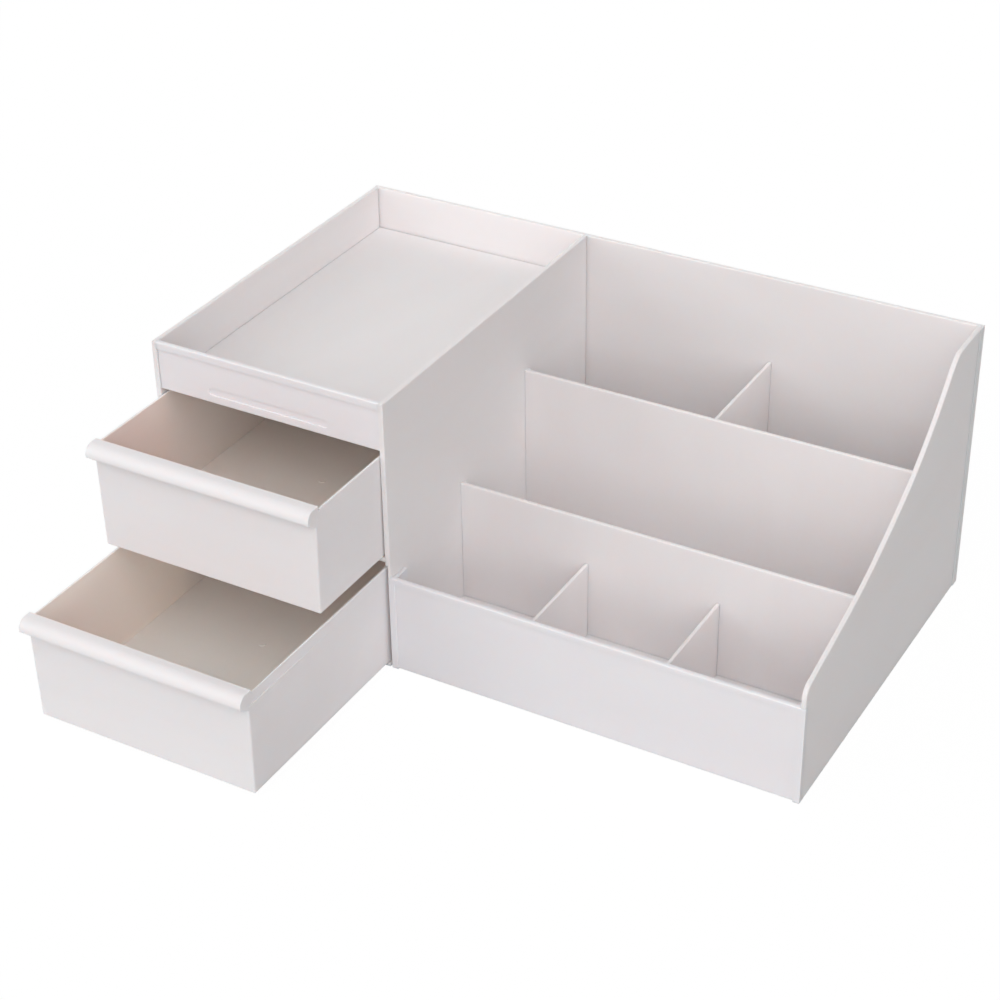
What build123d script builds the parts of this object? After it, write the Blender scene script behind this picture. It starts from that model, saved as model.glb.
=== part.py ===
from build123d import *
import os

# Vanity organiser: a two-drawer tower with a tray on top, beside stepped compartments
# for brushes and bottles.  Flat moulded panels slot together.  All sizes in millimetres.
# +X to the right, +Y towards the back, +Z up; the origin is the middle of the cabinet's
# footprint on the table.  The drawers stand part open, the lower one further than the upper.

# driving dimensions of the cabinet
width = 315.0            # over the outer faces of the two side panels
depth = 185.0            # front edges to the back of the back panel
height = 135.8           # table to the top rim
tower_width = 119.4      # left outer face to the right face of the middle panel
panel = 2.3              # thickness of the main panels
wall = 2.0               # thickness of the two tier walls
divider = 1.6            # thickness of the loose dividers
floor_thick = 2.3        # organiser floor
tower_floor_thick = 1.3
edge_round = 0.6         # softened rims of the panels
groove = 0.8             # depth of the blind grooves that hold the tier walls
slit = 0.5               # depth of the shallow grooves that hold the dividers
seam_width = 0.9         # open joints between the tower's panels and the back panel
seam_depth = 1.2

# heights
tray_floor_top = 114.2
tray_floor_thick = 1.8
shelf_top = 58.2
shelf_thick = 2.2
front_height = 48.5
rear_wall_top = 92.8
front_wall_top = 64.0
rear_divider_top = 92.5
front_divider_top = 40.6

# depths of the tiers, measured from the front
front_wall_y = 61.1      # front face of the lower tier wall
rear_wall_y = 121.2      # front face of the higher tier wall

# the back panel's flange, which laps over the right side panel
flange_reach = 5.2
flange_thick = 0.4

# drawers
drawer_depth = 173.0     # outer front face to outer back face
drawer_height = 52.8     # underside to the top of the front wall
drawer_top_width = 114.0
drawer_draft = 0.7       # each side leans in by this much from rim to underside
drawer_front = 2.3       # thickness of the front wall
drawer_side = 1.2        # thickness of the side and back walls
drawer_floor = 1.8
rim_drop = 1.9           # side and back rims stand this much below the front wall
lip_reach = 5.6          # handle lip in front of the drawer's face
lip_radius = 4.6
lip_drop = 5.5
lip_thick = 1.7
web_drop = 9.3
lip_end = 1.6            # end webs of the handle lip
lower_drawer_z = 1.5     # undersides of the two drawers
upper_drawer_z = 58.45
upper_drawer_out = 48.9  # how far each drawer is pulled out as it stands
lower_drawer_out = 103.8

# derived places
x_left = -width / 2
x_right = width / 2
y_front = -depth / 2
y_back = depth / 2
back_inner = y_back - panel
tower_in_left = x_left + panel
tower_in_right = x_left + tower_width - panel
tier_left = x_left + tower_width
tier_right = x_right - panel
tower_mid = (tower_in_left + tower_in_right) / 2
tower_inside = tower_in_right - tower_in_left
tier_mid = (tier_left + tier_right) / 2
tier_inside = tier_right - tier_left
inner_depth = back_inner - y_front
inner_mid_y = (back_inner + y_front) / 2
third = tier_inside / 3
front_divider_places = (tier_left + third, tier_right - third)

os.makedirs("parts", exist_ok=True)


def save(part, name):
    part.label = name
    export_step(part, "parts/" + name + ".step")


def rims(part, level):
    """The long edges of a panel at one height."""
    return part.edges().filter_by_position(Axis.Z, level - 0.01, level + 0.01)


# ---- floors -------------------------------------------------------------------------

# tower floor: the plate that the lower drawer slides on
with BuildPart() as tower_floor:
    with BuildSketch(Plane.XY):
        with Locations((tower_mid, inner_mid_y)):
            Rectangle(tower_inside, inner_depth)
    extrude(amount=tower_floor_thick)
save(tower_floor.part, "tower_floor")

# organiser floor: one plate under all six compartments
with BuildPart() as organiser_floor:
    with BuildSketch(Plane.XY):
        with Locations((tier_mid, inner_mid_y + panel / 2)):
            Rectangle(tier_inside, inner_depth - panel)
    extrude(amount=floor_thick)
save(organiser_floor.part, "organiser_floor")

# ---- tower panels -------------------------------------------------------------------

rail_reach = 1.5         # ledges on the tower's inner faces that carry shelf and tray
rail_thick = 1.1
shelf_rail_z = shelf_top - shelf_thick - rail_thick / 2
tray_rail_z = tray_floor_top - tray_floor_thick - rail_thick / 2
rail_front = 6.0         # the ledges start behind the front edge
rail_length = inner_depth - rail_front
rail_mid_y = back_inner - rail_length / 2

with BuildPart() as left_side_panel:
    with BuildSketch(Plane.YZ.offset(x_left)):
        with Locations((inner_mid_y, height / 2)):
            Rectangle(inner_depth, height)
    extrude(amount=panel)
    fillet(rims(left_side_panel, height).filter_by(Axis.Y), edge_round)
    with Locations((tower_in_left, rail_mid_y, shelf_rail_z), (tower_in_left, rail_mid_y, tray_rail_z)):
        Box(rail_reach, rail_length, rail_thick, align=(Align.MIN, Align.CENTER, Align.CENTER))
    with Locations((tower_in_left, back_inner, tray_floor_top)):
        Box(
            seam_depth,
            seam_width,
            height - edge_round - tray_floor_top,
            align=(Align.MAX, Align.MAX, Align.MIN),
            mode=Mode.SUBTRACT,
        )
save(left_side_panel.part, "left_side_panel")

# middle panel: it stands behind the front panel's left end, and a rebate down its front edge
# keeps clear of the lower drawer
rebate_depth = 1.1
rebate_reach = 5.0
rebate_height = 54.5
rib_reach = 1.4          # stop ribs behind the tier walls
rib_width = 1.8
tier_walls = (
    (front_wall_y, front_wall_top),
    (rear_wall_y, rear_wall_top),
)

with BuildPart() as middle_panel:
    with BuildSketch(Plane.YZ.offset(tower_in_right)):
        with BuildLine():
            Polyline(
                (y_front + panel, 0),
                (y_front + panel, front_height),
                (y_front, front_height),
                (y_front, height),
                (back_inner, height),
                (back_inner, 0),
                close=True,
            )
        make_face()
    extrude(amount=panel)
    fillet(rims(middle_panel, height).filter_by(Axis.Y), edge_round)
    with Locations((tower_in_right, y_front, 0)):
        Box(
            rebate_depth,
            rebate_reach,
            rebate_height,
            align=(Align.MIN, Align.MIN, Align.MIN),
            mode=Mode.SUBTRACT,
        )
    with Locations((tier_left, back_inner, floor_thick)):
        Box(
            seam_depth,
            seam_width,
            height - edge_round - floor_thick,
            align=(Align.MAX, Align.MAX, Align.MIN),
            mode=Mode.SUBTRACT,
        )
    with Locations((tower_in_right, rail_mid_y, shelf_rail_z), (tower_in_right, rail_mid_y, tray_rail_z)):
        Box(rail_reach, rail_length, rail_thick, align=(Align.MAX, Align.CENTER, Align.CENTER))
    for wall_y, wall_top in tier_walls:
        with Locations((tier_left, y_front + wall_y, floor_thick)):
            Box(
                groove,
                wall,
                wall_top - floor_thick,
                align=(Align.MAX, Align.MIN, Align.MIN),
                mode=Mode.SUBTRACT,
            )
        with Locations((tier_left, y_front + wall_y + wall, floor_thick)):
            Box(
                rib_reach,
                rib_width,
                wall_top - floor_thick - edge_round,
                align=(Align.MIN, Align.MIN, Align.MIN),
            )
save(middle_panel.part, "middle_panel")

# shelf between the drawers
with BuildPart() as drawer_shelf:
    with BuildSketch(Plane.XY.offset(shelf_top - shelf_thick)):
        with Locations((tower_mid, inner_mid_y)):
            Rectangle(tower_inside, inner_depth)
    extrude(amount=shelf_thick)
    fillet(drawer_shelf.edges().filter_by(Axis.X).group_by(Axis.Y)[0], edge_round)
save(drawer_shelf.part, "drawer_shelf")

# tray floor and its front panel: the rim stands proud as a bead, a shallow slot lies below it
tray_gap = 0.6           # open joint between the tray floor and the back panel
tray_bead = 3.6
tray_relief = 0.6
tray_front_bottom = tray_floor_top - tray_floor_thick
slot_length = 62.0
slot_height = 3.6
slot_z = 117.8
slot_depth = 0.4

with BuildPart() as tray_floor:
    with BuildSketch(Plane.XY.offset(tray_front_bottom)):
        with Locations((tower_mid, inner_mid_y + (panel - tray_gap) / 2)):
            Rectangle(tower_inside, inner_depth - panel - tray_gap)
    extrude(amount=tray_floor_thick)
save(tray_floor.part, "tray_floor")

with BuildPart() as tray_front_panel:
    with BuildSketch(Plane.YZ.offset(tower_in_left)):
        with BuildLine():
            Polyline(
                (y_front + tray_relief, tray_front_bottom),
                (y_front + tray_relief, height - tray_bead),
                (y_front, height - tray_bead),
                (y_front, height),
                (y_front + panel, height),
                (y_front + panel, tray_front_bottom),
                close=True,
            )
        make_face()
    extrude(amount=tower_inside)
    fillet(rims(tray_front_panel, height).filter_by(Axis.X), edge_round)
    with BuildSketch(Plane.XZ.offset(-(y_front + tray_relief))):
        with Locations((tower_mid, slot_z)):
            SlotOverall(slot_length, slot_height)
    extrude(amount=-slot_depth, mode=Mode.SUBTRACT)
save(tray_front_panel.part, "tray_front_panel")

# ---- stepped compartments -----------------------------------------------------------

# front panel: its ends cover the front edges of the panels beside it and stand on the table,
# its top rim and end posts stand proud, and flanges run back along both panels
front_bead = 3.0
front_relief = 0.4
front_foot_gap = 0.5
end_post = 3.0
hook_reach = 9.0
hook_thick = 1.6
front_left = tower_in_right + rebate_depth

with BuildPart() as front_panel:
    with BuildSketch(Plane.XZ.offset(-y_front)):
        with BuildLine():
            Polyline(
                (front_left, 0),
                (front_left, front_height),
                (x_right, front_height),
                (x_right, 0),
                (x_right - end_post, 0),
                (x_right - end_post, front_foot_gap),
                (front_left + end_post, front_foot_gap),
                (front_left + end_post, 0),
                close=True,
            )
        make_face()
    extrude(amount=-panel)
    with Locations(((front_left + x_right) / 2, y_front, front_foot_gap)):
        Box(
            x_right - front_left - 2 * end_post,
            front_relief,
            front_height - front_bead - front_foot_gap,
            align=(Align.CENTER, Align.MIN, Align.MIN),
            mode=Mode.SUBTRACT,
        )
    fillet(rims(front_panel, front_height).filter_by(Axis.X), edge_round)
    for hook_x, side in ((tier_left, Align.MIN), (tier_right, Align.MAX)):
        with Locations((hook_x, y_front + panel, floor_thick)):
            Box(
                hook_thick,
                hook_reach,
                front_height - floor_thick - edge_round,
                align=(side, Align.MIN, Align.MIN),
            )
save(front_panel.part, "front_panel")

# right side panel: the S-shaped rim steps down from the full height at the back to a rounded
# corner above the front panel
nose_top = 59.1          # where the rounded front corner ends
nose_depth = 5.8
nose_start = 52.8
rim_end = 160.0          # the full height begins this far behind the front
rim_course = (
    (34, 66.4),
    (60, 74.1),
    (84, 84.3),
    (106, 95.6),
    (126, 109.6),
    (144, 126.0),
    (152.5, 133.8),
)

with BuildPart() as right_side_panel:
    with BuildSketch(Plane.YZ.offset(tier_right)):
        with BuildLine():
            Polyline(
                (y_front + rim_end, height),
                (back_inner, height),
                (back_inner, 0),
                (y_front + panel, 0),
                (y_front + panel, front_height),
                (y_front, front_height),
                (y_front, nose_start),
            )
            ThreePointArc(
                (y_front, nose_start),
                (y_front + nose_depth / 4, (nose_start + 2 * nose_top) / 3),
                (y_front + nose_depth, nose_top),
            )
            Spline(
                (y_front + nose_depth, nose_top),
                *[(y_front + y, z) for y, z in rim_course],
                (y_front + rim_end, height),
                tangents=[(1, 0.26), (1, 0)],
            )
        make_face()
    extrude(amount=panel)
    rim_edges = right_side_panel.edges().filter_by(
        lambda edge: edge.center().Z > front_height + edge_round
        and abs(edge.tangent_at(0.5).X) < 0.5
        and edge.center().Y < back_inner - edge_round
    )
    fillet(rim_edges, edge_round)
    for wall_y, wall_top in tier_walls:
        with Locations((tier_right, y_front + wall_y, floor_thick)):
            Box(
                groove,
                wall,
                wall_top - floor_thick,
                align=(Align.MIN, Align.MIN, Align.MIN),
                mode=Mode.SUBTRACT,
            )
        with Locations((tier_right, y_front + wall_y + wall, floor_thick)):
            Box(
                rib_reach,
                rib_width,
                wall_top - floor_thick - edge_round,
                align=(Align.MAX, Align.MIN, Align.MIN),
            )
save(right_side_panel.part, "right_side_panel")

# back panel: full width, with a thin flange that laps over the right side panel
with BuildPart() as back_panel:
    with BuildSketch(Plane.XY):
        with BuildLine():
            Polyline(
                (x_left, y_back),
                (x_right + flange_thick, y_back),
                (x_right + flange_thick, y_back - flange_reach + flange_thick),
                (x_right, y_back - flange_reach),
                (x_right, back_inner),
                (x_left, back_inner),
                close=True,
            )
        make_face()
    extrude(amount=height)
    fillet(rims(back_panel, height).filter_by(Axis.X), edge_round)
save(back_panel.part, "back_panel")

# tier walls: their ends sit in the blind grooves of the panels beside them, and shallow
# slits in their faces hold the dividers
with BuildPart() as rear_tier_wall:
    with BuildSketch(Plane.XZ.offset(-(y_front + rear_wall_y))):
        with Locations((tier_mid, (rear_wall_top + floor_thick) / 2)):
            Rectangle(tier_inside + 2 * groove, rear_wall_top - floor_thick)
    extrude(amount=-wall)
    fillet(rims(rear_tier_wall, rear_wall_top).filter_by(Axis.X), edge_round)
    with Locations((tier_mid, y_front + rear_wall_y + wall, floor_thick)):
        Box(
            divider,
            slit,
            rear_divider_top - floor_thick,
            align=(Align.CENTER, Align.MAX, Align.MIN),
            mode=Mode.SUBTRACT,
        )
save(rear_tier_wall.part, "rear_tier_wall")

with BuildPart() as front_tier_wall:
    with BuildSketch(Plane.XZ.offset(-(y_front + front_wall_y))):
        with Locations((tier_mid, (front_wall_top + floor_thick) / 2)):
            Rectangle(tier_inside + 2 * groove, front_wall_top - floor_thick)
    extrude(amount=-wall)
    fillet(rims(front_tier_wall, front_wall_top).filter_by(Axis.X), edge_round)
    with Locations(*[(x, y_front + front_wall_y, floor_thick) for x in front_divider_places]):
        Box(
            divider,
            slit,
            front_divider_top - floor_thick,
            align=(Align.CENTER, Align.MIN, Align.MIN),
            mode=Mode.SUBTRACT,
        )
save(front_tier_wall.part, "front_tier_wall")

# dividers: one halves the rear row, two split the front row in three
with BuildPart() as rear_divider:
    with BuildSketch(Plane.YZ.offset(tier_mid - divider / 2)):
        with BuildLine():
            Polyline(
                (y_front + rear_wall_y + wall - slit, floor_thick),
                (back_inner, floor_thick),
                (back_inner, rear_divider_top),
                (y_front + rear_wall_y + wall - slit, rear_divider_top),
                close=True,
            )
        make_face()
    extrude(amount=divider)
    fillet(rims(rear_divider, rear_divider_top).filter_by(Axis.Y), divider / 3)
save(rear_divider.part, "rear_divider")

for name, x in zip(("front_divider_left", "front_divider_right"), front_divider_places):
    with BuildPart() as front_divider:
        with BuildSketch(Plane.YZ.offset(x - divider / 2)):
            with BuildLine():
                Polyline(
                    (y_front + panel, floor_thick),
                    (y_front + front_wall_y + slit, floor_thick),
                    (y_front + front_wall_y + slit, front_divider_top),
                    (y_front + panel, front_divider_top),
                    close=True,
                )
            make_face()
        extrude(amount=divider)
        fillet(rims(front_divider, front_divider_top).filter_by(Axis.Y), divider / 3)
    save(front_divider.part, name)

# ---- drawers ------------------------------------------------------------------------

# each drawer is one moulding: a drafted tub whose front wall ends in a rolled lip, hollow
# below and closed by a web at each end
mark_radius = 1.6        # moulding mark in the middle of the floor
mark_height = 0.4
corner_round = 0.9
foot_round = 0.8
rim_round = 0.4
notch_reach = 1.0        # small notch between the front wall and each side rim
notch_depth = 0.9
band_drop = 7.4          # the lower drawer's sides step in above this line, below the lip's top
band_depth = 0.6         # at the front; the step runs out towards the back
band_reach = 72.0
half_top = drawer_top_width / 2
rim_z = drawer_height - rim_drop


def make_drawer(name, z_under, pulled, stepped):
    y_face = y_front - pulled
    z_top = z_under + drawer_height
    z_rim = z_under + rim_z
    arc_y = y_face - lip_reach + lip_radius
    arc_z = z_top - lip_radius
    with BuildPart() as drawer:
        # outside: the sides and the back lean in towards the underside
        for z, inset in ((0, drawer_draft), (rim_z, 0)):
            with BuildSketch(Plane.XY.offset(z_under + z)):
                with Locations((tower_mid, y_face + (drawer_depth - inset) / 2)):
                    RectangleRounded(
                        drawer_top_width - 2 * inset, drawer_depth - inset, corner_round
                    )
        loft()
        fillet(rims(drawer, z_under), foot_round)

        # inside
        for z, inset in ((drawer_floor, drawer_draft), (rim_z, 0)):
            y_near = y_face + drawer_front
            y_far = y_face + drawer_depth - drawer_side - inset
            with BuildSketch(Plane.XY.offset(z_under + z)):
                with Locations((tower_mid, (y_near + y_far) / 2)):
                    RectangleRounded(
                        2 * (half_top - drawer_side - inset), y_far - y_near, corner_round
                    )
        loft(mode=Mode.SUBTRACT)
        fillet(rims(drawer, z_rim), rim_round)

        # the step in the sides, under the rim
        if stepped:
            with BuildSketch(Plane.XY.offset(z_top - band_drop)):
                for side in (-1, 1):
                    side_x = tower_mid + side * half_top
                    with BuildLine():
                        Polyline(
                            (side_x + side, y_face),
                            (side_x - side * band_depth, y_face),
                            (side_x, y_face + band_reach),
                            (side_x + side, y_face + band_reach),
                            close=True,
                        )
                    make_face()
            extrude(amount=band_drop, mode=Mode.SUBTRACT)

        # notches behind the front wall
        for side in (-1, 1):
            with Locations((tower_mid + side * half_top, y_face + drawer_front, z_rim)):
                Box(
                    4 * drawer_side,
                    notch_reach,
                    notch_depth,
                    align=(Align.CENTER, Align.MIN, Align.MAX),
                    mode=Mode.SUBTRACT,
                )

        # rolled lip of the handle, with the front wall's raised top
        with BuildSketch(Plane.YZ.offset(tower_mid - half_top)):
            with BuildLine():
                Polyline(
                    (y_face, z_rim - drawer_front),
                    (y_face + drawer_front, z_rim - drawer_front),
                    (y_face + drawer_front, z_top),
                    (arc_y, z_top),
                )
                CenterArc((arc_y, arc_z), lip_radius, 90, 90)
                Polyline(
                    (arc_y - lip_radius, arc_z),
                    (arc_y - lip_radius, z_top - lip_drop),
                    (arc_y - lip_radius + lip_thick, z_top - lip_drop),
                    (arc_y - lip_radius + lip_thick, arc_z),
                )
                CenterArc((arc_y, arc_z), lip_radius - lip_thick, 90, 90)
                Polyline(
                    (arc_y, z_top - lip_thick),
                    (y_face, z_top - lip_thick),
                    (y_face, z_rim - drawer_front),
                )
            make_face()
        extrude(amount=drawer_top_width)
        for web_x in (-half_top, half_top - lip_end):
            with BuildSketch(Plane.YZ.offset(tower_mid + web_x)):
                with BuildLine():
                    Polyline((y_face, z_top), (arc_y, z_top))
                    CenterArc((arc_y, arc_z), lip_radius, 90, 90)
                    Polyline(
                        (arc_y - lip_radius, arc_z),
                        (arc_y - lip_radius, z_top - lip_drop),
                        (y_face, z_top - web_drop),
                        (y_face, z_top),
                    )
                make_face()
            extrude(amount=lip_end)

        # moulding mark
        with Locations((tower_mid, y_face + drawer_depth / 2, z_under + drawer_floor)):
            Cylinder(mark_radius, mark_height, align=(Align.CENTER, Align.CENTER, Align.MIN))
    save(drawer.part, name)


make_drawer("lower_drawer", lower_drawer_z, lower_drawer_out, True)
make_drawer("upper_drawer", upper_drawer_z, upper_drawer_out, False)
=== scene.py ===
import bmesh
import bpy
import math
from mathutils import Matrix, Vector


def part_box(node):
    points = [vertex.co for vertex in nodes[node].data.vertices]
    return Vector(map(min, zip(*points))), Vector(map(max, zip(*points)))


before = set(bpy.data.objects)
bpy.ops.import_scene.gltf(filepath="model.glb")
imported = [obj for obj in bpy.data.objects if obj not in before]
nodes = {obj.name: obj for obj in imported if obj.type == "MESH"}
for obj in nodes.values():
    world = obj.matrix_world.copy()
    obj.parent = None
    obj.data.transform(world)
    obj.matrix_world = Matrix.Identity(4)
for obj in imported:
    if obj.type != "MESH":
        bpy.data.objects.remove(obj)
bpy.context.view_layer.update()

# ---- floor plates ---------------------------------------------------------------------
# Two flat plates of warm white polystyrene under the tower and the compartments, moulded
# like every other piece here and pushed in between the panels. Round marks show where the
# pins pushed them out of the mould.


class Signal:
    """A shader socket that takes part in arithmetic."""

    def __init__(self, tree, socket=None):
        self.tree = tree
        self.socket = socket

    def node(self, kind, settings, sockets, out=0):
        """Adds a node, and gives its output, or an empty one where the node has none."""
        made = self.tree.nodes.new(kind)
        for key, value in settings.items():
            setattr(made, key, value)
        for key, value in sockets.items():
            if isinstance(value, Signal):
                self.tree.links.new(value.socket, made.inputs[key])
            else:
                made.inputs[key].default_value = value
        return Signal(self.tree, made.outputs[out] if len(made.outputs) else None)

    def maths(self, operation, first, second):
        return self.node("ShaderNodeMath", {"operation": operation}, {0: first, 1: second})

    def __add__(self, other):
        return self.maths("ADD", self, other)

    def __radd__(self, other):
        return self.maths("ADD", other, self)

    def __sub__(self, other):
        return self.maths("SUBTRACT", self, other)

    def __rsub__(self, other):
        return self.maths("SUBTRACT", other, self)

    def __mul__(self, other):
        return self.maths("MULTIPLY", self, other)

    def __rmul__(self, other):
        return self.maths("MULTIPLY", other, self)

    def step(self, low, high):
        """0 below low, 1 above high, smooth between."""
        return self.node(
            "ShaderNodeMapRange",
            {"interpolation_type": "SMOOTHSTEP"},
            {"Value": self, "From Min": low, "From Max": high},
        )


def between(value, low, high, soft):
    """1 where a value lies from low to high, fading out over soft."""
    return value.step(low - soft, low) * (1 - value.step(high, high + soft))


def blend_colours(factor, first, second):
    return factor.node(
        "ShaderNodeMix", {"data_type": "RGBA"}, {"Factor": factor, "A": first, "B": second}, 2
    )


plastic_white = (0.898, 0.864, 0.866, 1)
plastic_cloud = (0.884, 0.846, 0.846, 1)
plastic_ior = 1.5
plastic_shine = 0.25             # level of the soft shine on the skin
light_reach = 0.001              # how far light wanders inside the plastic
light_tint = (1.0, 0.86, 0.8)    # red wanders furthest
satin = 0.42                     # roughness of the skin
melt_stretch = 0.3               # patterns are drawn out along the melt's flow

# How many times each pattern repeats in a metre, and where its patches begin and end.
cloud_count = 22
cloud_swirl = 1.2
cloud_edge = (0.3, 0.75)
wave_count = 30
grain_count = 2600
rub_count = 70
rub_contrast = 0.72
scuff_count = 420
scuff_edge = (0.66, 0.8)

# What the patterns add to the roughness, and their heights in the relief.
rub_dulls = 0.10
scuff_dulls = 0.08
wave_height = 0.9
grain_height = 0.016
relief_strength = 0.25
relief_depth = 0.0006

# A pin mark: the lengths are shares of its radius.
pin_radius = 0.003
pin_disc_edge = 0.92
pin_ridge_half = 0.02
pin_ridge_fade = 0.06
pin_ridge_height = 0.12
pin_disc_depth = 0.05
pin_disc_dulls = 0.05


class Moulding:
    """Satin polystyrene under way: colour, roughness and relief are added to, then it is
    finished. flow is the direction in which the melt ran, shift moves the pattern."""

    def __init__(self, name, shift, flow="X", white=plastic_white, cloud=plastic_cloud):
        self.material = bpy.data.materials.new(name)
        self.material.use_nodes = True
        tree = self.material.node_tree
        tree.nodes.clear()
        start = Signal(tree)
        place = start.node("ShaderNodeTexCoord", {}, {}, "Object")
        self.x, self.y, self.z = (
            start.node("ShaderNodeSeparateXYZ", {}, {"Vector": place}, axis) for axis in "XYZ"
        )
        self.here = start.node("ShaderNodeMapping", {}, {"Vector": place, "Location": shift})
        along = self.drawn_out(*(melt_stretch if axis == flow else 1 for axis in "XYZ"))
        clouds = self.noise(along, cloud_count, 3, distortion=cloud_swirl)
        waves = self.noise(along, wave_count, 1)
        grain = self.noise(self.here, grain_count, 2)
        rubbed = self.noise(self.here, rub_count, 6, roughness=rub_contrast)
        scuffs = self.noise(along, scuff_count, 3).step(*scuff_edge)
        self.colour = blend_colours(clouds.step(*cloud_edge), white, cloud)
        self.roughness = satin + rub_dulls * rubbed + scuff_dulls * scuffs
        self.relief = wave_height * waves + grain_height * grain

    def drawn_out(self, x, y, z):
        """The piece's place, with a pattern stretched along the axes whose share is below 1."""
        return self.here.node("ShaderNodeMapping", {}, {"Vector": self.here, "Scale": (x, y, z)})

    def noise(self, vector, scale, detail, roughness=0.5, distortion=0.0):
        return vector.node(
            "ShaderNodeTexNoise",
            {},
            {
                "Vector": vector,
                "Scale": scale,
                "Detail": detail,
                "Roughness": roughness,
                "Distortion": distortion,
            },
        )

    def paint_light_tone(self, mask, colour):
        """Paints a second tone of the plastic where the mask is 1, as painted light and shade.
        """
        self.colour = blend_colours(mask, self.colour, colour)

    def pin_marks(self, places, axes):
        """Discs a hair below the skin, each inside a fine ridge."""
        first, second = (getattr(self, axis) for axis in axes)
        for a, b in places:
            across = first - a
            up = second - b
            square = across * across + up * up
            away = square.maths("POWER", square, 0.5)
            disc = 1 - away.step(pin_radius * pin_disc_edge, pin_radius)
            ridge = between(
                away,
                pin_radius * (1 - pin_ridge_half),
                pin_radius * (1 + pin_ridge_half),
                pin_radius * pin_ridge_fade,
            )
            self.relief = self.relief + pin_ridge_height * ridge - pin_disc_depth * disc
            self.roughness = self.roughness + pin_disc_dulls * disc

    def finish(self, name):
        start = self.roughness
        bump = start.node(
            "ShaderNodeBump",
            {},
            {"Height": self.relief, "Strength": relief_strength, "Distance": relief_depth},
        )
        shader = start.node(
            "ShaderNodeBsdfPrincipled",
            {},
            {
                "Base Color": self.colour,
                "Roughness": self.roughness,
                "IOR": plastic_ior,
                "Specular IOR Level": plastic_shine,
                "Subsurface Weight": 1.0,
                "Subsurface Radius": light_tint,
                "Subsurface Scale": light_reach,
                "Normal": bump,
            },
        )
        start.node("ShaderNodeOutputMaterial", {}, {"Surface": shader})
        mesh = nodes[name].data
        mesh.materials.clear()
        mesh.materials.append(self.material)


pin_inset = 1 / 7        # of a floor plate's depth, from its edges
for name in ("tower_floor", "organiser_floor"):
    low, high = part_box(name)
    plate = Moulding("white_" + name, (low[0], 0.3, 0.1), "Y")
    inset = (high[1] - low[1]) * pin_inset
    pins = [
        (x, y)
        for x in (low[0] + inset, (low[0] + high[0]) / 2, high[0] - inset)
        for y in (low[1] + inset, high[1] - inset)
    ]
    plate.pin_marks(pins, "xy")
    plate.finish(name)

# ---- side and middle panels of the tower ----------------------------------------------
# Flat injection-moulded panels that stand on edge and hold the shelf and the tray on
# narrow ledges. The melt ran from the back, which draws out the clouds in their skin. The
# faces round the drawers, in the shade inside the tower, are painted lighter and warmer:
# painted light standing in for the light that bounces about in there.
# painted light: a lighter, warmer white for faces that lie in the tower's shade
painted_light_white = (0.975, 0.93, 0.895, 1)
skin = 0.0006            # how deep a face with painted light reaches below its surface
panel_thick = 0.0023
tower_left, tower_front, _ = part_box("left_side_panel")[0]
tower_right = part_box("middle_panel")[1][0]
tray_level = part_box("tray_floor")[0][2]
behind_front = (tower_front + panel_thick, tower_front + 2 * panel_thick)
for name, shift, low_x, high_x in (
    ("left_side_panel", (0.1, 0.2, 0.3), tower_left + skin, tower_right),
    ("middle_panel", (0.9, 0.4, 0.2), tower_left, tower_right - panel_thick + skin),
):
    panel = Moulding("white_" + name, shift, "Y")
    facing_drawers = between(panel.x, low_x, high_x, skin / 2)
    below_tray = 1 - panel.z.step(tray_level - skin, tray_level)
    panel.paint_light_tone(facing_drawers * below_tray * panel.y.step(*behind_front), painted_light_white)
    panel.finish(name)

# ---- back panel -------------------------------------------------------------------------
# One panel over the whole back, which every other panel is pushed into. Its middle shrank
# a little as it cooled, and its outer face carries the marks of six mould pins.
shrink_count = 9
shrink_height = 0.5
outer_skin = 0.001
pin_columns = (0.12, 0.5, 0.88)
pin_rows = (0.2, 0.8)
back_low, back_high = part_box("back_panel")
back_span = back_high[0] - back_low[0]
back_rise = back_high[2] - back_low[2]
back = Moulding("white_back_panel", (0.5, 0.1, 0.7), "X")
outer_face = back.y.step(back_high[1] - outer_skin, back_high[1] - outer_skin / 2)
shrinkage = back.noise(back.here, shrink_count, 1)
back.relief = back.relief + shrink_height * shrinkage * outer_face
back.pin_marks(
    [
        (back_low[0] + back_span * across, back_low[2] + back_rise * up)
        for across in pin_columns
        for up in pin_rows
    ],
    "xz",
)
back.finish("back_panel")

# ---- shelf and tray ---------------------------------------------------------------------
# Two thin plates that slide in on the ledges of the tower's panels. The tray's top gets
# what is put down on it, so it is rubbed a little duller along its middle. The shelf behind
# its front edge and the tray's underside lie in the tower's shade and are painted lighter:
# painted light.
shelf = Moulding("white_drawer_shelf", (0.3, 0.8, 0.4), "Y")
# painted light: the shelf behind its front edge, in the tower's shade, gets the lighter white
shelf.paint_light_tone(shelf.y.step(*behind_front), painted_light_white)
shelf.finish("drawer_shelf")

worn_inset = 0.02        # how far from the tray's walls the wear begins
worn_fade = 0.015
worn_dulls = 0.05
scratch_count = 900
scratch_swirl = 2.0
scratch_edge = (0.62, 0.7)
tray_low, tray_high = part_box("tray_floor")
tray = Moulding("white_tray_floor", (0.7, 0.6, 0.2), "Y")
worn = between(tray.x, tray_low[0] + worn_inset, tray_high[0] - worn_inset, worn_fade)
scratches = tray.noise(tray.here, scratch_count, 2, distortion=scratch_swirl)
scratches = scratches.step(*scratch_edge)
tray.roughness = tray.roughness + worn_dulls * worn + worn_dulls * worn * scratches
# painted light: the tray floor's underside, in the shade over the upper drawer, gets the lighter
# white
tray.paint_light_tone(1 - tray.z.step(tray_level + skin / 2, tray_level + skin), painted_light_white)
tray.finish("tray_floor")

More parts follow.
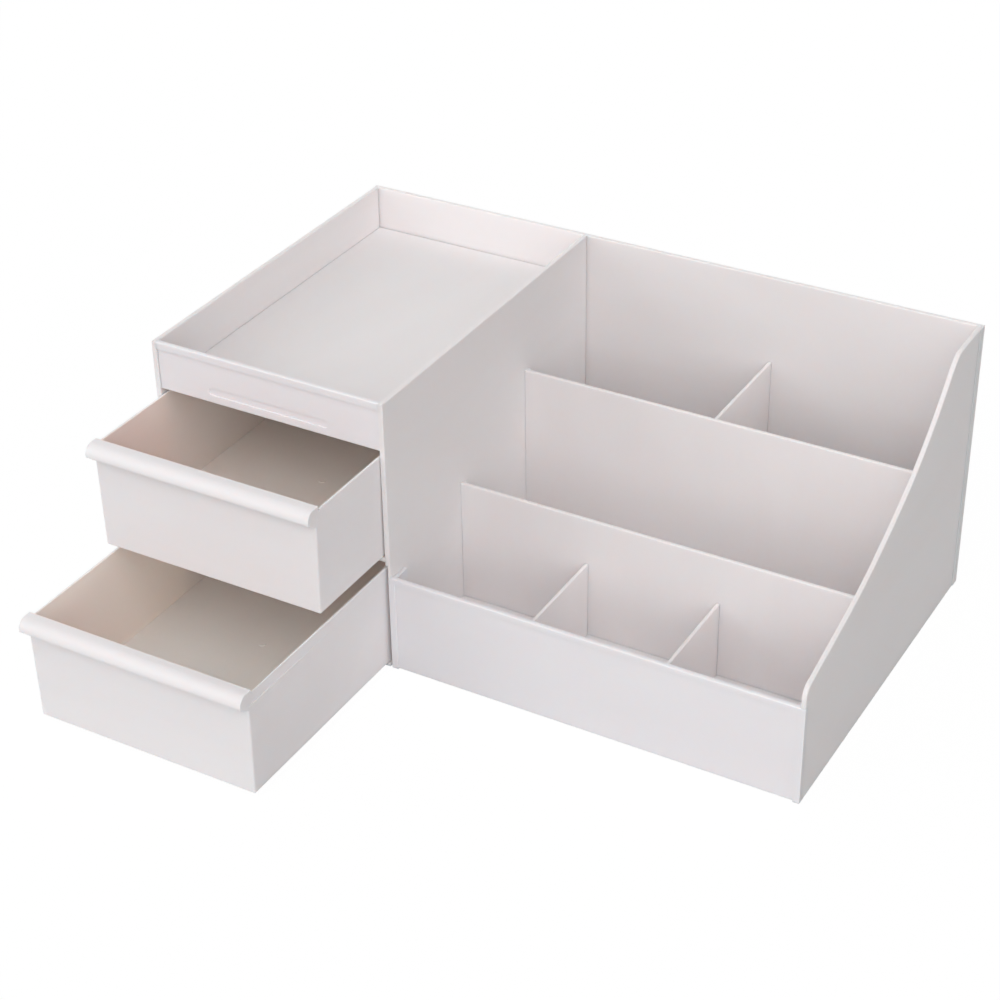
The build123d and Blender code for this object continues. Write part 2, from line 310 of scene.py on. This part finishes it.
# ---- tray front panel -------------------------------------------------------------------
# A narrow panel whose rim is a smooth bead. It hangs between the side and middle panels,
# and a shallow slot with round ends is sunk in its lower part.
# painted light: the front faces get a cooler, bluer white for the cooler light that falls on
# them
painted_cool_white = (0.882, 0.862, 0.886, 1)
painted_cool_cloud = (0.87, 0.846, 0.868, 1)
tray_front = Moulding("white_tray_front_panel", (0.2, 0.9, 0.6), "X", painted_cool_white, painted_cool_cloud)
tray_front.finish("tray_front_panel")

# ---- front panel and right side panel ---------------------------------------------------
# The low panel before the compartments, and the side panel whose rim swings down in an S.
# The front one hooks on to its neighbours, and like the tray's it is painted a little cooler:
# painted light, for the cooler light that falls on the fronts.
front = Moulding("white_front_panel", (0.4, 0.3, 0.9), "X", painted_cool_white, painted_cool_cloud)
front.finish("front_panel")
Moulding("white_right_side_panel", (0.6, 0.7, 0.1), "Y").finish("right_side_panel")

# ---- tier walls -------------------------------------------------------------------------
# Two upright walls across the compartments, each in grooves of the panels at its ends.
# Their skin ripples slightly along their length, as on a long thin moulding.
ripple_count = 16
ripple_height = 0.4
for name, shift in (("rear_tier_wall", (0.15, 0.5, 0.8)), ("front_tier_wall", (0.85, 0.2, 0.5))):
    tier = Moulding("white_" + name, shift, "Z")
    tier.relief = tier.relief + ripple_height * tier.noise(tier.here, ripple_count, 0)
    tier.finish(name)

# ---- dividers ---------------------------------------------------------------------------
# Three thin loose plates, which drop into shallow slits of the tier walls. Sliding them in
# and out leaves fine upright streaks near their ends.
streak_count = 1400
streak_stretch = 0.04
streak_edge = (0.55, 0.7)
streak_reach = 0.006     # how far in from a divider's ends the streaks run
streak_fade = 0.002
streak_dulls = 0.1
for number, name in enumerate(("rear_divider", "front_divider_left", "front_divider_right")):
    low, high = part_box(name)
    plate = Moulding("white_" + name, (number * 0.31, 0.45, 0.65), "Z")
    streaks = plate.noise(plate.drawn_out(1, 1, streak_stretch), streak_count, 2)
    ends = 1 - between(plate.y, low[1] + streak_reach, high[1] - streak_reach, streak_fade)
    plate.roughness = plate.roughness + streak_dulls * streaks.step(*streak_edge) * ends
    plate.finish(name)

# ---- drawers ----------------------------------------------------------------------------
# Two drafted tubs, each moulded in one with its rolled lip. Light comes through their thin
# walls, and their inside is also painted warmer and lighter than the skin: painted light.
# Towards the front the inside walls get a darker warm tone, painted shade, darker in the
# upper drawer than the lower, and the lower drawer's floor there is painted lighter, painted
# light from the pale table below. Sliding has rubbed lines in their sides.
tub_white = (0.892, 0.866, 0.876, 1)
tub_cloud = (0.878, 0.848, 0.856, 1)
# painted light and shade: a warm light inside tone, a darker tone towards each drawer's front,
# and a lighter lower floor
painted_inside_light = (0.995, 0.885, 0.83, 1)
upper_painted_shade = (0.95, 0.80, 0.755, 1)
lower_painted_shade = (0.975, 0.84, 0.795, 1)
painted_floor_light = (0.995, 0.905, 0.86, 1)
shade_start = 0.02        # how far behind the lip the painted shade begins to fade
shade_end = 0.11
half_side = 0.0006       # half of a side wall's thickness
lip_to_inside = 0.0079   # from the lip's foremost line to the front wall's inner face
inside_level = 0.0015    # just below the floor's upper face
inside_fade = 0.0002
line_count = 1500
line_stretch = 0.02
line_edge = (0.56, 0.72)
line_dulls = 0.08
for name, shift, wall_painted_shade, floor_painted_light_shade in (
    ("lower_drawer", (0.05, 0.6, 0.35), lower_painted_shade, painted_floor_light),
    ("upper_drawer", (0.55, 0.35, 0.95), upper_painted_shade, upper_painted_shade),
):
    low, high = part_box(name)
    tub = Moulding("white_" + name, shift, "X", tub_white, tub_cloud)
    level = low[2] + inside_level
    between_sides = between(tub.x, low[0] + 2 * half_side, high[0] - 2 * half_side, half_side)
    between_ends = between(tub.y, low[1] + lip_to_inside, high[1] - 2 * half_side, half_side)
    inside = between_sides * between_ends * tub.z.step(level, level + inside_fade)
    painted_front_shade = 1 - tub.y.step(low[1] + shade_start, low[1] + shade_end)
    above_floor = tub.z.step(level + inside_level, level + 2 * inside_level)
    # painted light over the whole inside, then painted shade on the front walls and a painted
    # tone on the front floor
    tub.paint_light_tone(inside, painted_inside_light)
    tub.paint_light_tone(inside * painted_front_shade * above_floor, wall_painted_shade)
    tub.paint_light_tone(inside * painted_front_shade * (1 - above_floor), floor_painted_light_shade)
    lines = tub.noise(tub.drawn_out(1, line_stretch, 1), line_count, 2).step(*line_edge)
    tub.roughness = tub.roughness + line_dulls * lines * (1 - between_sides)
    tub.finish(name)

# ---- studio -----------------------------------------------------------------------------
# A pale table that runs on out of sight, a softly lit room, and six wide soft lamps. The
# table looks white, and a faint shadow shows through its white.
table_size = 6.0
table_mesh = bpy.data.meshes.new("studio_table")
sheet = bmesh.new()
bmesh.ops.create_grid(sheet, x_segments=1, y_segments=1, size=table_size / 2)
sheet.to_mesh(table_mesh)
sheet.free()
table = bpy.data.objects.new("studio_table", table_mesh)
bpy.context.scene.collection.objects.link(table)

seen_white = (1, 1, 1, 1)
table_grey = (0.55, 0.55, 0.55, 1)
table_glow = 0.96        # how much of the table's own shading the white glow covers
glow_level = 1.01        # makes up for what the shading under the glow lacks to white
paper = bpy.data.materials.new("studio_paper")
paper.use_nodes = True
paper.node_tree.nodes.clear()
paper_start = Signal(paper.node_tree)
path = paper_start.node("ShaderNodeLightPath", {}, {}, "Is Camera Ray")
matt = paper_start.node("ShaderNodeBsdfDiffuse", {}, {"Color": table_grey})
pale = paper_start.node("ShaderNodeBsdfDiffuse", {}, {"Color": seen_white})
glow = paper_start.node("ShaderNodeEmission", {}, {"Color": seen_white, "Strength": glow_level})
seen = paper_start.node("ShaderNodeMixShader", {}, {0: table_glow, 1: pale, 2: glow})
paper_mix = paper_start.node("ShaderNodeMixShader", {}, {0: path, 1: matt, 2: seen})
paper_start.node("ShaderNodeOutputMaterial", {}, {"Surface": paper_mix})
table_mesh.materials.append(paper)

room_light = 0.15
world = bpy.data.worlds.new("studio_room")
bpy.context.scene.world = world
world.use_nodes = True
world.node_tree.nodes.clear()
room = Signal(world.node_tree)
straight = room.node("ShaderNodeLightPath", {}, {}, "Is Camera Ray")
mirrored = room.node("ShaderNodeLightPath", {}, {}, "Is Glossy Ray")
backdrop = room.node("ShaderNodeBackground", {}, {"Color": seen_white, "Strength": 1.0})
around = room.node("ShaderNodeBackground", {}, {"Color": seen_white, "Strength": room_light})
room_mix = room.node(
    "ShaderNodeMixShader",
    {},
    {0: room.maths("MAXIMUM", straight, mirrored), 1: around, 2: backdrop},
)
room.node("ShaderNodeOutputWorld", {}, {"Surface": room_mix})


def soft_lamp(name, around_front, height, level, width=60):
    """A far, wide, soft lamp: its bearing from the front, its height and its width are in
    degrees, and level is the light that it lays on a surface square to it."""
    data = bpy.data.lights.new(name, "SUN")
    data.energy = math.pi * level
    data.angle = math.radians(width)
    bearing = math.radians(around_front)
    rise = math.radians(height)
    towards = Vector(
        (
            math.sin(bearing) * math.cos(rise),
            -math.cos(bearing) * math.cos(rise),
            math.sin(rise),
        )
    )
    lamp = bpy.data.objects.new(name, data)
    lamp.rotation_euler = towards.to_track_quat("Z", "Y").to_euler()
    bpy.context.scene.collection.objects.link(lamp)


soft_lamp("high_front_lamp", 0, 60, 0.22)
soft_lamp("front_lamp", 0, 30, 0.135)
soft_lamp("low_left_lamp", -50, 8, 0.385)
soft_lamp("right_lamp", 50, 30, 0.335)
soft_lamp("side_lamp", 90, 20, 0.05)
soft_lamp("back_lamp", -135, 30, 0.22)

# ---- camera -----------------------------------------------------------------------------
# The photograph's angle, from the front right and above, with its slight roll. The angles
# are in radians, and the lens and the sensor are in millimetres.
camera_place = (0.412161, -0.770617, 0.603017)
camera_turn = 0.52671
camera_tilt = 0.56488
camera_roll = 0.01684
camera_data = bpy.data.cameras.new("camera")
camera_data.sensor_width = 36.0
camera_data.lens = 81.105
camera = bpy.data.objects.new("camera", camera_data)
camera.matrix_world = (
    Matrix.Translation(camera_place)
    @ Matrix.Rotation(camera_turn, 4, "Z")
    @ Matrix.Rotation(math.pi / 2 - camera_tilt, 4, "X")
    @ Matrix.Rotation(-camera_roll, 4, "Z")
)
bpy.context.scene.collection.objects.link(camera)
bpy.context.scene.camera = camera
bpy.context.scene.view_settings.view_transform = "Standard"
